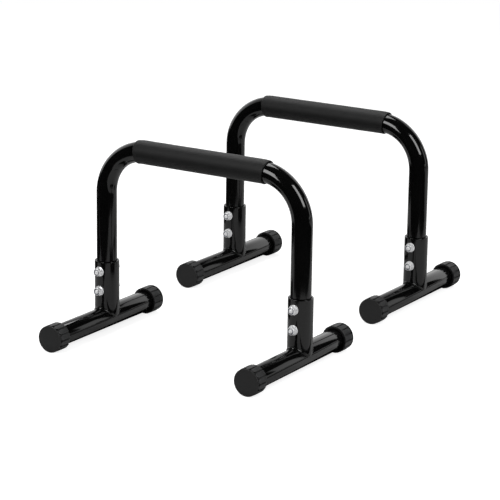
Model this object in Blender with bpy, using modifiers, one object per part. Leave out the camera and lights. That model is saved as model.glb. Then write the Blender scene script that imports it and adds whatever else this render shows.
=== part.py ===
"""A pair of push-up bars. Each bar is one bent steel tube with a foam sleeve on its handle,
bolted into two welded feet that stand on ribbed end caps.

Units are metres. X runs along the handles, Y along the feet, from the near ends to the far
ends, and +Z is up. The origin is on the floor, in the middle of the pair.
"""

import math

import bmesh
import bpy
from mathutils import Matrix, Vector

# Where the two bars stand
BAR_SPACING = 0.451  # from the front handle's axis to the rear one's
BAR_STAGGER = 0.029  # how far the rear bar stands to the left of the front one

# The bent tube: a handle between two legs
HANDLE_HEIGHT = 0.326  # from the floor to the handle's axis
LEG_SPACING = 0.392  # between the axes of the two legs
BEND_RADIUS = 0.080  # at the tube's axis
TUBE_DIAMETER = 0.035
TUBE_WALL = 0.002

# The foam sleeve on the handle
GRIP_LENGTH = 0.256
FOAM_THICKNESS = 0.0026

# The foot tube
FOOT_LENGTH = 0.302  # over both end caps
FOOT_TUBE_DIAMETER = 0.037
FOOT_TUBE_WALL = 0.002
FOOT_FORWARD = 0.013  # how far a foot's middle is in front of its leg

# The upright socket that is welded onto the foot tube
SOCKET_HEIGHT = 0.0835  # above the foot tube's top
SOCKET_WALL = 0.003
SOCKET_CLEARANCE = 0.0005  # between the leg and the socket's bore
SOCKET_CHAMFER = 0.0007
WELD_RADIUS = 0.0028  # of the bead round the joint

# The bolts through the socket and the leg, two in each socket
UPPER_BOLT_DROP = 0.0165  # below the socket's top
BOLT_PITCH = 0.0345  # between the upper and the lower bolt
LEG_END_DROP = 0.018  # from the lower bolt to the leg's end
BOLT_DIAMETER = 0.008
BOLT_TIP_CHAMFER = 0.001
BOLT_PAST_NUT = 0.0015
HEAD_ACROSS_FLATS = 0.013
HEAD_HEIGHT = 0.0053
HEAD_TURN = math.radians(15)  # from having a corner at the side
WASHER_DIAMETER = 0.018
WASHER_THICKNESS = 0.0016
NUT_ACROSS_FLATS = 0.013
NUT_HEX_HEIGHT = 0.0062
NUT_HEIGHT = 0.008
NUT_COLLAR_WALL = 0.0007
NYLON_WALL = 0.001
NYLON_THICKNESS = 0.0014

# The ribbed end cap
CAP_LENGTH = 0.027
CAP_END_WALL = 0.004
CAP_WALL = 0.0022  # from its bore to the floor of its grooves
CAP_RIM_CHAMFER = 0.001
CAP_RIM_SETBACK = 0.0002  # how far the rim stays inside the ribs' faces
RIB_COUNT = 14
RIB_HEIGHT = 0.0023
RIB_SHARE = 0.80  # the part of the circle that the ribs take up

# Gaps, and the overlap of shapes that are joined
GAP = 0.0003
JOIN = 0.0005
MERGE_DISTANCE = 1e-6  # of points that are one point
SMOOTH_ANGLE = math.radians(40)  # sharper edges than this are shaded as edges

# Faces round each kind of piece, and chords in the curves
ROUND_SIDES = 20  # of tubes and sockets
CAP_SIDES = 16  # of a cap's rim and bore
FASTENER_SIDES = 10
BEND_CHORDS = 7
WELD_CHORDS = 4



def clear_radius(radius, sides):
    """The corner radius of a many-sided bore whose flats stay a gap away from a round piece."""
    return (radius + GAP) / math.cos(math.pi / sides)


# Sizes that follow from those above
TUBE_RADIUS = TUBE_DIAMETER / 2
GRIP_RADIUS = TUBE_RADIUS + GAP + FOAM_THICKNESS
FOOT_RADIUS = FOOT_TUBE_DIAMETER / 2
GROOVE_RADIUS = FOOT_RADIUS + GAP + CAP_WALL
FOOT_AXIS_HEIGHT = GROOVE_RADIUS + RIB_HEIGHT  # the lowest rib's flat face is on the floor
FOOT_TUBE_LENGTH = FOOT_LENGTH - 2 * (CAP_END_WALL + GAP)
SOCKET_BORE = TUBE_RADIUS + SOCKET_CLEARANCE
SOCKET_RADIUS = SOCKET_BORE + SOCKET_WALL
SOCKET_TOP = FOOT_AXIS_HEIGHT + FOOT_RADIUS + SOCKET_HEIGHT
WELD_SADDLE_RADIUS = FOOT_RADIUS + WELD_RADIUS / 4
WELD_END_REACH = SOCKET_RADIUS + WELD_RADIUS / 4
WELD_SIDE_REACH = min(FOOT_RADIUS, WELD_END_REACH)
UPPER_BOLT_HEIGHT = SOCKET_TOP - UPPER_BOLT_DROP
LOWER_BOLT_HEIGHT = UPPER_BOLT_HEIGHT - BOLT_PITCH
LEG_END_HEIGHT = LOWER_BOLT_HEIGHT - LEG_END_DROP
BOLT_RADIUS = BOLT_DIAMETER / 2
BOLT_BORE = clear_radius(BOLT_RADIUS, FASTENER_SIDES)  # through all that the bolt passes
WASHER_SEAT = SOCKET_RADIUS + GAP  # from the leg's axis to a washer's inner face
NUT_SEAT = WASHER_SEAT + WASHER_THICKNESS + GAP
NYLON_RADIUS = BOLT_RADIUS + GAP + NYLON_WALL
NYLON_RECESS = NYLON_RADIUS + GAP
CUTTER_REACH = 0.3  # longer than anything that is cut

GLOSS_BLACK = (0.010, 0.010, 0.011, 1.0)
FOAM_BLACK = (0.018, 0.018, 0.019, 1.0)
CAP_GREY = (0.022, 0.023, 0.024, 1.0)
ZINC = (0.72, 0.73, 0.75, 1.0)
NYLON_BLUE = (0.20, 0.25, 0.36, 1.0)

FACING_NEAR = (math.pi / 2, 0.0, 0.0)  # turns a piece's +Z to -Y
FACING_FAR = (-math.pi / 2, 0.0, 0.0)  # turns a piece's +Z to +Y


def collection(name):
    made = bpy.data.collections.new(name)
    bpy.context.scene.collection.children.link(made)
    return made


def material(name, colour, roughness, metallic=0.0):
    made = bpy.data.materials.new(name)
    made.use_nodes = True
    shader = made.node_tree.nodes["Principled BSDF"]
    shader.inputs["Base Color"].default_value = colour
    shader.inputs["Roughness"].default_value = roughness
    shader.inputs["Metallic"].default_value = metallic
    made.diffuse_color = colour
    return made


def helper(name, data):
    """An object for working on, in the cutters' collection, which no render shows."""
    made = bpy.data.objects.new(name, data)
    bpy.data.collections["push_up_bars_cutters"].objects.link(made)
    made.hide_render = True
    made.display_type = "WIRE"
    return made


def finished_mesh(worked, name):
    """The mesh that a helper's modifiers make, welded and facing outwards. The helper is removed."""
    bpy.context.view_layer.update()
    graph = bpy.context.evaluated_depsgraph_get()
    mesh = bpy.data.meshes.new_from_object(worked.evaluated_get(graph))
    mesh.name = name
    bpy.data.objects.remove(worked)
    shape = bmesh.new()
    shape.from_mesh(mesh)
    bmesh.ops.remove_doubles(shape, verts=shape.verts, dist=MERGE_DISTANCE)
    bmesh.ops.recalc_face_normals(shape, faces=shape.faces)
    shape.to_mesh(mesh)
    shape.free()
    mesh.shade_smooth()
    mesh.set_sharp_from_angle(angle=SMOOTH_ANGLE)
    return mesh


def boolean(target, other, operation="DIFFERENCE"):
    """Cuts another helper out of a target, or joins the two."""
    cut = target.modifiers.new(other.name, "BOOLEAN")
    cut.object = other
    cut.operation = operation


def prism(name, radius, low, high, sides, turn=0.0):
    """A closed cylinder or, with six sides, a hexagon, along Z between two heights."""
    shape = bmesh.new()
    made = bmesh.ops.create_cone(
        shape, cap_ends=True, segments=sides, radius1=radius, radius2=radius, depth=high - low
    )
    bmesh.ops.rotate(shape, verts=made["verts"], matrix=Matrix.Rotation(turn, 3, "Z"))
    bmesh.ops.translate(shape, verts=made["verts"], vec=(0.0, 0.0, (low + high) / 2))
    mesh = bpy.data.meshes.new(name)
    shape.to_mesh(mesh)
    shape.free()
    return helper(name, mesh)


def turned(name, profile, sides, closed=False):
    """A profile of (radius, height) points, spun about Z. A closed profile makes a ring."""
    edges = [(i, i + 1) for i in range(len(profile) - 1)]
    if closed:
        edges.append((len(profile) - 1, 0))
    mesh = bpy.data.meshes.new(name)
    mesh.from_pydata([(radius, 0.0, height) for radius, height in profile], edges, [])
    made = helper(name, mesh)
    spin = made.modifiers.new("Spin", "SCREW")
    spin.angle = math.tau
    spin.steps = sides
    spin.render_steps = sides
    spin.use_merge_vertices = True
    spin.merge_threshold = MERGE_DISTANCE
    return made


def ring(name, radius, height):
    """A flat ring round a bolt, with its lower face on height 0."""
    profile = [(radius, height), (radius, 0.0), (BOLT_BORE, 0.0), (BOLT_BORE, height)]
    return turned(name, profile, FASTENER_SIDES, closed=True)


def pipe(name, path, radius, wall):
    """A tube along a path of points."""
    curve = bpy.data.curves.new(name, "CURVE")
    curve.dimensions = "3D"
    curve.bevel_depth = radius
    curve.bevel_resolution = (ROUND_SIDES - 4) // 2
    spline = curve.splines.new("POLY")
    spline.points.add(len(path) - 1)
    for point, place in zip(spline.points, path):
        point.co = (*place, 1.0)
    made = helper(name, curve)
    shell = made.modifiers.new("Wall", "SOLIDIFY")
    shell.thickness = wall
    shell.offset = -1.0
    return made


def half_handle_path():
    """The tube's axis from the middle of the handle, round the right bend and down the right leg."""
    bend_start = LEG_SPACING / 2 - BEND_RADIUS
    bend_height = HANDLE_HEIGHT - BEND_RADIUS
    path = [Vector((0.0, 0.0, HANDLE_HEIGHT))]
    for step in range(BEND_CHORDS + 1):
        angle = math.pi / 2 * step / BEND_CHORDS
        along = bend_start + BEND_RADIUS * math.sin(angle)
        path.append(Vector((along, 0.0, bend_height + BEND_RADIUS * math.cos(angle))))
    path.append(Vector((LEG_SPACING / 2, 0.0, LEG_END_HEIGHT)))
    return path


def cut_to_length(path, length):
    """The first stretch of a path, as long as asked."""
    kept = [path[0]]
    for start, end in zip(path, path[1:]):
        step = (end - start).length
        if step >= length:
            kept.append(start.lerp(end, length / step))
            break
        kept.append(end)
        length -= step
    return kept


def both_sides(half_path):
    """A path from the left end to the right end. The point in the middle isn't needed."""
    right = half_path[1:]
    left = [Vector((-point.x, point.y, point.z)) for point in reversed(right)]
    return left + right


def bolt_hole_cutter(name, x, height):
    """A cylinder along Y through a leg's axis, wide enough for a bolt."""
    made = prism(name, BOLT_BORE, -CUTTER_REACH, CUTTER_REACH, FASTENER_SIDES)
    made.rotation_euler = FACING_NEAR
    made.location = (x, 0.0, height)
    return made


def frame_tube_mesh():
    """The handle and its two legs, bent from one tube, with a hole through each leg for each bolt."""
    tube = pipe("frame_tube", both_sides(half_handle_path()), TUBE_RADIUS, TUBE_WALL)
    solid = helper("frame_tube_shell", finished_mesh(tube, "frame_tube_shell"))
    for side in (-1, 1):
        for height in (UPPER_BOLT_HEIGHT, LOWER_BOLT_HEIGHT):
            boolean(solid, bolt_hole_cutter("leg_hole", side * LEG_SPACING / 2, height))
    return finished_mesh(solid, "frame_tube")


def foam_grip_mesh():
    """The sleeve follows the same axis as the tube, a little way into each bend."""
    path = both_sides(cut_to_length(half_handle_path(), GRIP_LENGTH / 2))
    return finished_mesh(pipe("foam_grip", path, GRIP_RADIUS, FOAM_THICKNESS), "foam_grip")


def foot_tube_mesh():
    """A straight tube along Y, with its middle at the mesh's origin."""
    ends = [Vector((0.0, end * FOOT_TUBE_LENGTH / 2, 0.0)) for end in (-1, 1)]
    return finished_mesh(pipe("foot_tube", ends, FOOT_RADIUS, FOOT_TUBE_WALL), "foot_tube")


def weld_middle(turn):
    """How far out and how high the middle of the weld bead lies, at a turn round the leg's axis."""
    reach = 1 / math.hypot(math.cos(turn) / WELD_SIDE_REACH, math.sin(turn) / WELD_END_REACH)
    across = reach * math.cos(turn)
    return reach, math.sqrt(WELD_SADDLE_RADIUS**2 - across**2)


def socket_section(turn):
    """The socket's wall with the weld bead at its foot, at a turn round the leg's axis, as points
    of (distance from that axis, height above the foot tube's axis)."""
    top = SOCKET_TOP - FOOT_AXIS_HEIGHT
    reach, height = weld_middle(turn)
    leaves_wall = math.acos(min(1.0, (SOCKET_RADIUS - reach) / WELD_RADIUS))
    section = [
        (SOCKET_BORE, top),
        (SOCKET_RADIUS - SOCKET_CHAMFER, top),
        (SOCKET_RADIUS, top - SOCKET_CHAMFER),
    ]
    for step in range(WELD_CHORDS + 1):
        angle = leaves_wall - (leaves_wall + math.pi / 2) * step / WELD_CHORDS
        section.append((reach + WELD_RADIUS * math.cos(angle), height + WELD_RADIUS * math.sin(angle)))
    section.append((SOCKET_BORE, height - WELD_RADIUS))
    return section


def socket_mesh():
    """The upright tube, coped over the foot tube, and the weld bead that runs round the saddle.
    It is lofted through its sections. The mesh's origin is on the foot tube's axis."""
    shape = bmesh.new()
    rings = []
    for side in range(ROUND_SIDES):
        turn = math.tau * side / ROUND_SIDES
        rings.append(
            [
                shape.verts.new((radius * math.cos(turn), radius * math.sin(turn), height))
                for radius, height in socket_section(turn)
            ]
        )
    for this, following in zip(rings, rings[1:] + rings[:1]):
        for i in range(len(this)):
            shape.faces.new((this[i - 1], this[i], following[i], following[i - 1]))
    bmesh.ops.recalc_face_normals(shape, faces=shape.faces)
    mesh = bpy.data.meshes.new("socket_loft")
    shape.to_mesh(mesh)
    shape.free()
    solid = helper("socket_loft", mesh)
    cope_radius = clear_radius(FOOT_RADIUS, ROUND_SIDES)
    cope = prism("foot_cope", cope_radius, -CUTTER_REACH, CUTTER_REACH, ROUND_SIDES)
    cope.rotation_euler = FACING_NEAR
    boolean(solid, cope)
    for height in (UPPER_BOLT_HEIGHT, LOWER_BOLT_HEIGHT):
        boolean(solid, bolt_hole_cutter("socket_hole", 0.0, height - FOOT_AXIS_HEIGHT))
    return finished_mesh(solid, "socket")


def rib_outline():
    """The corners of the ribs and grooves round an end cap. One rib faces straight down."""
    pitch = math.tau / RIB_COUNT
    half_rib = pitch * RIB_SHARE / 2
    corner_radius = FOOT_AXIS_HEIGHT / math.cos(half_rib)
    corners = []
    for rib in range(RIB_COUNT):
        middle = -math.pi / 2 + rib * pitch
        for radius, angle in (
            (GROOVE_RADIUS, middle - half_rib),
            (corner_radius, middle - half_rib),
            (corner_radius, middle + half_rib),
            (GROOVE_RADIUS, middle + half_rib),
        ):
            corners.append((radius * math.cos(angle), radius * math.sin(angle)))
    return corners


def circle(radius, sides):
    """The corners of a many-sided circle."""
    angles = [math.tau * step / sides for step in range(sides)]
    return [(radius * math.cos(angle), radius * math.sin(angle)) for angle in angles]


def end_cap_mesh():
    """A ribbed sleeve with a flat end wall. Its outer face is at height 0 and it opens upwards."""
    outline = bpy.data.curves.new("end_cap_ribs", "CURVE")
    outline.dimensions = "2D"
    outline.fill_mode = "BOTH"
    outline.extrude = (CAP_LENGTH - CAP_END_WALL + JOIN) / 2
    for corners in (rib_outline(), circle(clear_radius(FOOT_RADIUS, CAP_SIDES), CAP_SIDES)):
        spline = outline.splines.new("POLY")
        spline.points.add(len(corners) - 1)
        for point, corner in zip(spline.points, corners):
            point.co = (*corner, 0.0, 1.0)
        spline.use_cyclic_u = True
    sleeve = helper("end_cap_ribs", finished_mesh(helper("end_cap_ribs", outline), "end_cap_ribs"))
    sleeve.location.z = (CAP_LENGTH + CAP_END_WALL - JOIN) / 2
    rim_radius = FOOT_AXIS_HEIGHT - CAP_RIM_SETBACK
    end_wall = turned(
        "end_cap_wall",
        [
            (0.0, CAP_END_WALL),
            (rim_radius, CAP_END_WALL),
            (rim_radius, CAP_RIM_CHAMFER),
            (rim_radius - CAP_RIM_CHAMFER, 0.0),
            (0.0, 0.0),
        ],
        CAP_SIDES,
    )
    wall = helper("end_cap", finished_mesh(end_wall, "end_cap_wall"))
    boolean(wall, sleeve, "UNION")
    return finished_mesh(wall, "end_cap")


def bolt_mesh():
    """A hexagon-head bolt with its tip upwards. Height 0 is at the leg's axis."""
    tip = NUT_SEAT + NUT_HEIGHT + BOLT_PAST_NUT
    head_face = -NUT_SEAT
    shank = turned(
        "bolt_shank",
        [
            (0.0, tip),
            (BOLT_RADIUS - BOLT_TIP_CHAMFER, tip),
            (BOLT_RADIUS, tip - BOLT_TIP_CHAMFER),
            (BOLT_RADIUS, head_face - JOIN),
            (0.0, head_face - JOIN),
        ],
        FASTENER_SIDES,
    )
    corner_radius = HEAD_ACROSS_FLATS / math.sqrt(3)
    head = prism("bolt_head", corner_radius, head_face - HEAD_HEIGHT, head_face, 6, HEAD_TURN)
    solid = helper("bolt", finished_mesh(shank, "bolt_shank"))
    boolean(solid, head, "UNION")
    return finished_mesh(solid, "bolt")


def lock_nut_mesh():
    """A hexagon nut whose round collar holds a nylon ring. Its seat is at height 0."""
    collar_radius = NYLON_RECESS + NUT_COLLAR_WALL
    hexagon = prism("nut_hexagon", NUT_ACROSS_FLATS / math.sqrt(3), 0.0, NUT_HEX_HEIGHT, 6)
    collar = prism("nut_collar", collar_radius, NUT_HEX_HEIGHT / 2, NUT_HEIGHT, FASTENER_SIDES)
    boolean(hexagon, collar, "UNION")
    recess_floor = NUT_HEIGHT - NYLON_THICKNESS - GAP
    recess = prism("nut_recess", NYLON_RECESS, recess_floor, CUTTER_REACH, FASTENER_SIDES)
    boolean(hexagon, recess)
    boolean(hexagon, prism("nut_bore", BOLT_BORE, -CUTTER_REACH, CUTTER_REACH, FASTENER_SIDES))
    return finished_mesh(hexagon, "lock_nut")


def nylon_ring_mesh():
    return finished_mesh(ring("nylon_ring", NYLON_RADIUS, NYLON_THICKNESS), "nylon_ring")


def washer_mesh():
    return finished_mesh(ring("washer", WASHER_DIAMETER / 2, WASHER_THICKNESS), "washer")


def place(name, mesh, bar, location=(0.0, 0.0, 0.0), rotation=(0.0, 0.0, 0.0)):
    """One named piece of a bar. Pieces of one kind share their mesh."""
    made = bpy.data.objects.new(name, mesh)
    bpy.data.collections["push_up_bars"].objects.link(made)
    made.parent = bar
    made.location = location
    made.rotation_euler = rotation
    return made


def place_fasteners(label, bar, meshes, x, height):
    """One bolt with its two washers, its lock nut on the near side, and the nut's nylon ring."""
    nylon_seat = NUT_SEAT + NUT_HEIGHT - NYLON_THICKNESS
    place(f"{label}_bolt", meshes["bolt"], bar, (x, 0.0, height), FACING_NEAR)
    place(f"{label}_head_washer", meshes["washer"], bar, (x, WASHER_SEAT, height), FACING_FAR)
    place(f"{label}_nut_washer", meshes["washer"], bar, (x, -WASHER_SEAT, height), FACING_NEAR)
    place(f"{label}_nut", meshes["lock_nut"], bar, (x, -NUT_SEAT, height), FACING_NEAR)
    place(f"{label}_nylon_ring", meshes["nylon_ring"], bar, (x, -nylon_seat, height), FACING_NEAR)


def place_foot(label, bar, meshes, x):
    """A foot tube with its caps, the socket on it and the bolts that hold the leg."""
    near_end = -FOOT_FORWARD - FOOT_LENGTH / 2
    far_end = -FOOT_FORWARD + FOOT_LENGTH / 2
    place(f"{label}_foot_tube", meshes["foot_tube"], bar, (x, -FOOT_FORWARD, FOOT_AXIS_HEIGHT))
    place(f"{label}_socket", meshes["socket"], bar, (x, 0.0, FOOT_AXIS_HEIGHT))
    place(f"{label}_near_cap", meshes["end_cap"], bar, (x, near_end, FOOT_AXIS_HEIGHT), FACING_FAR)
    place(f"{label}_far_cap", meshes["end_cap"], bar, (x, far_end, FOOT_AXIS_HEIGHT), FACING_NEAR)
    place_fasteners(f"{label}_upper", bar, meshes, x, UPPER_BOLT_HEIGHT)
    place_fasteners(f"{label}_lower", bar, meshes, x, LOWER_BOLT_HEIGHT)


def place_bar(label, meshes, x, y):
    """One whole bar, under an empty on the floor below the middle of its handle."""
    bar = bpy.data.objects.new(f"{label}_bar", None)
    bpy.data.collections["push_up_bars"].objects.link(bar)
    bar.location = (x, y, 0.0)
    place(f"{label}_frame_tube", meshes["frame_tube"], bar)
    place(f"{label}_foam_grip", meshes["foam_grip"], bar)
    place_foot(f"{label}_left", bar, meshes, -LEG_SPACING / 2)
    place_foot(f"{label}_right", bar, meshes, LEG_SPACING / 2)


def main():
    for old in list(bpy.data.objects):
        bpy.data.objects.remove(old)
    collection("push_up_bars")
    collection("push_up_bars_cutters").hide_render = True
    paint = material("gloss_black_paint", GLOSS_BLACK, 0.12)
    foam = material("black_foam", FOAM_BLACK, 0.85)
    moulded = material("dark_moulded_cap", CAP_GREY, 0.55)
    zinc = material("zinc_plate", ZINC, 0.25, 1.0)
    nylon = material("blue_nylon", NYLON_BLUE, 0.45)
    meshes = {}
    for kind, make, finish in (
        ("frame_tube", frame_tube_mesh, paint),
        ("foam_grip", foam_grip_mesh, foam),
        ("foot_tube", foot_tube_mesh, paint),
        ("socket", socket_mesh, paint),
        ("end_cap", end_cap_mesh, moulded),
        ("bolt", bolt_mesh, zinc),
        ("washer", washer_mesh, zinc),
        ("lock_nut", lock_nut_mesh, zinc),
        ("nylon_ring", nylon_ring_mesh, nylon),
    ):
        meshes[kind] = make()
        meshes[kind].materials.clear()
        meshes[kind].materials.append(finish)
    place_bar("front", meshes, BAR_STAGGER / 2, -BAR_SPACING / 2 + FOOT_FORWARD)
    place_bar("rear", meshes, -BAR_STAGGER / 2, BAR_SPACING / 2 + FOOT_FORWARD)


main()
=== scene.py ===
"""The looks of a pair of push-up bars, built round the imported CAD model.

Every CAD node is replaced by a finer piece of the same size in the same place. Lengths are in
metres, in the CAD model's frame: X along the handles, Y along the feet, and +Z up.
"""

import math

import bmesh
import bpy
from mathutils import Matrix, Vector, noise


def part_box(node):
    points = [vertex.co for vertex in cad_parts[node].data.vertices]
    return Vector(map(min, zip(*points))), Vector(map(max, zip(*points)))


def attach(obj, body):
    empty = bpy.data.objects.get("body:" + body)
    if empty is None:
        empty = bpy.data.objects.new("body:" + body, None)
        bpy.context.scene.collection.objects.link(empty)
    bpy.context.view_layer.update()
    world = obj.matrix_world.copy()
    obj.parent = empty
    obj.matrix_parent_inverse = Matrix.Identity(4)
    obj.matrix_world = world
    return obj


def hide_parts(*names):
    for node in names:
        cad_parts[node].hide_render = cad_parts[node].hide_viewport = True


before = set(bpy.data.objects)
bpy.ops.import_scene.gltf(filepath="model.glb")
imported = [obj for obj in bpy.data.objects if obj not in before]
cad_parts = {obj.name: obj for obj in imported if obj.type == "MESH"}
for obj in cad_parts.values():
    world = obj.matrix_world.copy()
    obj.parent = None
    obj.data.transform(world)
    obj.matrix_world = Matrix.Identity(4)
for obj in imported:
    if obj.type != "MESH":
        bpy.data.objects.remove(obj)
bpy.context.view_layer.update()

# The photograph's camera: where it looks from, and the point it looks at, seen from the middle
# of the front bar on the floor
CAMERA_AZIMUTH = math.radians(32.358)
CAMERA_PITCH = math.radians(15.435)
CAMERA_ROLL = math.radians(0.8325)
CAMERA_DISTANCE = 3.5713
CAMERA_AIM = Vector((0.0963, 0.0, 0.1893))
CAMERA_LENS = 155.73  # mm, on the sensor below
CAMERA_SENSOR = 36.0
CAMERA_REACH = 50.0  # how far it sees

# How finely the pieces are made
TUBE_SIDES = 72
SOCKET_SIDES = 120
FASTENER_SIDES = 72
HOLE_SIDES = 36
DRILL_ENDS = (-0.1, 0.1)  # along Y
PATH_STEP = 0.004  # along the bent tube
CORNER_STEPS = 4
SMOOTH_ANGLE = math.radians(35)
SUPPORT = 0.0001  # between an edge and the ring that keeps its shading narrow

# The bent tube and its foam sleeve
BEND_RADIUS = 0.080
BEND_FLATTENING = 0.05  # how much a bent tube narrows in the plane of its bend
TUBE_WALL = 0.002
TUBE_END_EDGE = 0.0004  # how far a cut tube's outer edge is rounded
FOAM_INSIDE = 0.0178
FOAM_MOUTH = 0.0185  # the sleeve opens a little at its ends
FOAM_MOUTH_DEPTH = 0.0016
FOAM_MOUTH_EDGE = 0.0002
FOAM_EDGE = 0.0009
FOAM_EDGE_STEPS = 6
FOAM_LENGTH = 0.256  # along the tube's axis
FOAM_SKIN = FOAM_MOUTH + 0.0005  # sections wider than this are wavy
FOAM_WAVE = 0.00012
FOAM_WAVES = (60, 90, 90)  # for each metre along X, Y and Z

# The welded foot and socket
FOOT_END_STEPS = 2
SOCKET_WALL = 0.003
SOCKET_TOP_EDGE = 0.0006
SOCKET_TOP_STEPS = 4
SOCKET_WALL_PARTS = (0.006, 0.03, 0.2, 0.4, 0.6, 0.8, 0.97, 0.994)  # where its rings are
WELD_RADIUS = 0.0028
WELD_LIFT = WELD_RADIUS / 4  # of the bead's middle off both tubes
WELD_STEPS = 10
WELD_RIPPLES = 52
WELD_RIPPLE_BOW = 2.2  # how far a ripple's middle bends round the bead, in radians of its wave
WELD_RIPPLE_DEPTH = 0.00010
WELD_LUMPS = 0.8  # the uneven part of a ripple's depth
WELD_LUMPS_ROUND = 9  # how finely that part varies round the socket
WELD_LUMPS_ACROSS = 3  # and across the bead
WELD_SINK = 0.00005  # into the foot tube, so that no gap shows
SADDLE_STEPS = 4
TOE_HALVINGS = 30  # of the range of angles, to find where the bead ends

# The ribbed end cap
CAP_BORE = 0.0189
CAP_END_WALL = 0.004
CAP_DISC_PARTS = (0.02, 0.35, 0.7, 0.93)  # the rings on the end's disc
CAP_INNER_DISC_PART = 0.05  # the same, on the end wall's inside
CAP_RIM_INSET = 0.0002  # from the ribs' faces
CAP_RIM_WIDTH = 0.0015
CAP_RIM_EDGE = 0.0007
CAP_RIM_STEPS = 5
CAP_RIM_GROOVE = 0.0010  # all round, between the rim and the noses of the ribs
CAP_RIBS_START = CAP_RIM_WIDTH + CAP_RIM_GROOVE
CAP_NOTCH_DEPTH = 0.0017  # how far below their faces the noses start
CAP_NOSE_LENGTH = 0.0026  # the sloping end of a rib, next to the rim
CAP_NOSE_STEPS = 4
CAP_POCKET_LENGTH = 0.0052  # the wider part of a groove, next to the rim
CAP_POCKET_STRAIGHT = 0.45  # the part of that length before it narrows
CAP_GROOVE_RISE = 0.0012  # how much shallower the grooves are at the mouth
CAP_MOUTH_EDGE = 0.0005
CAP_MOUTH_STEPS = 4
CAP_LEAD_IN_RADIUS = 0.0194  # of the funnel inside the mouth
CAP_LEAD_IN_DEPTH = 0.0015
RIB_COUNT = 14
RIB_HEIGHT = 0.0023
RIB_SHARE_AT_POCKET = 0.48  # the part of the circle that the ribs take up
RIB_SHARE = 0.78  # the same, past the pockets
RIB_STEPS = 12
RIB_CROWDING = 1.6  # above 1, the rings are closer together near the noses
RIB_EDGE = 0.012  # a part of the pitch
# The corners of a rib's side: how far in from its boundary, in RIB_EDGEs, and the height from 0,
# the groove's floor, to 1, the rib's face
RIB_SIDE = ((-2.5, 0.0), (-1.0, 0.04), (-0.5, 0.25), (-0.25, 0.75), (0.5, 0.96), (2.0, 1.0))

# The bolts, nuts and washers
BOLT_RADIUS = 0.004
BORE_CLEARANCE = 0.0003
FILLET = 0.0003  # where a round part meets a flat one
HEXAGON = 0.013  # across the flats of the nut and of the bolt's head
HEXAGON_CORNER = 0.985  # the part of a corner's reach that its rounding leaves
CHAMFER_START = 0.96  # the part of the flats' reach that a chamfer leaves on a face
CHAMFER_ANGLE = math.radians(30)
CHAMFER_DEPTH = HEXAGON * 0.1
CHAMFER_STEPS = 6
HEAD_TURN = math.radians(15)
HEAD_HEIGHT = 0.0053
HEAD_DISC_PARTS = (0.05, 0.3)  # the rings on the head's face, as parts of its width
THREAD_PITCH = 0.00125
THREAD_DEPTH = 0.00062
THREAD_LENGTH = 0.022
THREAD_RINGS = 8  # for each turn of the thread
THREAD_SLOPE = 1.25  # above 1, the thread's root is flat
THREAD_CREST = 0.1  # above 0, its crest is flat
TIP_CHAMFER = 0.0011
TIP_CROWN = 0.0007
TIP_CROWN_ANGLE = math.radians(32)
TIP_STEPS = 5
NUT_HEX_HEIGHT = 0.0062
NUT_COLLAR_WALL = 0.0007
NUT_RECESS_DEPTH = 0.0017
NUT_CRIMP_HEIGHT = 0.0011
NUT_CRIMP_REACH = 0.0008  # inwards, over the nylon ring
NUT_CRIMP_STEPS = 6
# Inside the crimp, as (out from the recess's wall, up from the nut's top)
NUT_LIP = ((-0.0002, -0.0001), (-0.0001, -0.0004), (0.0, -0.0005))
NUT_LEAD_IN = 0.0004
NYLON_WALL = 0.001
NYLON_PLAY = 0.00005  # round the bolt
NYLON_SET_BACK = 0.0009
NYLON_EDGES = (0.0, 0.0001, 0.0002, 0.0004)  # from the bore's foot outwards, up and back in
WASHER_EDGES = (0.0001, 0.00015, 0.0005, 0.0004)

# Materials
CLOUD_STOPS = (0.3, 0.7)  # the values of a cloud between which the colour changes
# The caps' painted highlight: paler patches of this colour where a cap is widest
PAINTED_HIGHLIGHT_COLOUR = (0.03, 0.031, 0.032)
PAINTED_HIGHLIGHT_DEPTH = 0.0008  # below a cap's widest part, where the paler patches end

# The floor and the light round the object
STUDIO_MIDDLE = Vector((0.0, 0.0, 0.15))  # which the lamps look at, and the hung cards surround
AMBIENT = 0.36
BACKDROP = 1.0  # for mirrored rays at the horizon
BACKDROP_ABOVE = 0.4  # and for those that go up
BACKDROP_FADE = (0.35, 0.75)  # heights on the sphere of directions
FLOOR_REACH = 6.0
FLOOR_COLOUR = 0.5
FLOOR_GLOW = 0.78  # for the camera's rays
FLOOR_MIRRORED_GLOW = 0.0

# The lamps: name, azimuth, elevation, distance, width, height and brightness
LAMPS = (
    ("front_left_box", -163, 32, 2.6, 0.95, 1.2, 6.6),
    ("right_strip", 96, 38, 2.6, 0.9, 1.6, 6.6),
    ("overhead_box", -50, 66, 2.4, 1.3, 1.4, 4.4),
)

# The black cards. The hung ones are given by the azimuths and the elevations of their edges, and
# the lying ones by the places of their edges along X and along Y.
CARD_COLOUR = 0.004
CARD_DISTANCE = 3.4  # of the hung ones
CARD_COLUMNS = 12
CARD_ROWS = 6
CARD_REACH = 4.0  # how far the others go
HUNG_CARDS = {
    "card_behind_right": ((20, 41), (-8, 90)),
    "card_right": ((72, 175), (-20, 90)),
    "card_above_right": ((41, 56), (26, 90)),
    "card_right_of_those": ((56, 72), (3, 90)),
    "card_left": ((175, 265), (-20, 90)),
    "card_above_behind": ((-95, 19), (47, 90)),
}
LYING_CARDS = {
    "card_in_front": ((-CARD_REACH, CARD_REACH), (-CARD_REACH, -0.62)),
    "card_to_the_right": ((0.66, CARD_REACH), (-0.60, 0.6)),
    "card_to_the_left": ((-CARD_REACH, -0.56), (-0.60, 0.6)),
}
LYING_HEIGHT = 0.001
RING_CARD_HEIGHT = 0.0012
RING_CARD_START = 0.47  # from the right leg's axis
RING_CARD_AZIMUTHS = (95, 230)
BETWEEN_BARS_Y = -0.04
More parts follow.
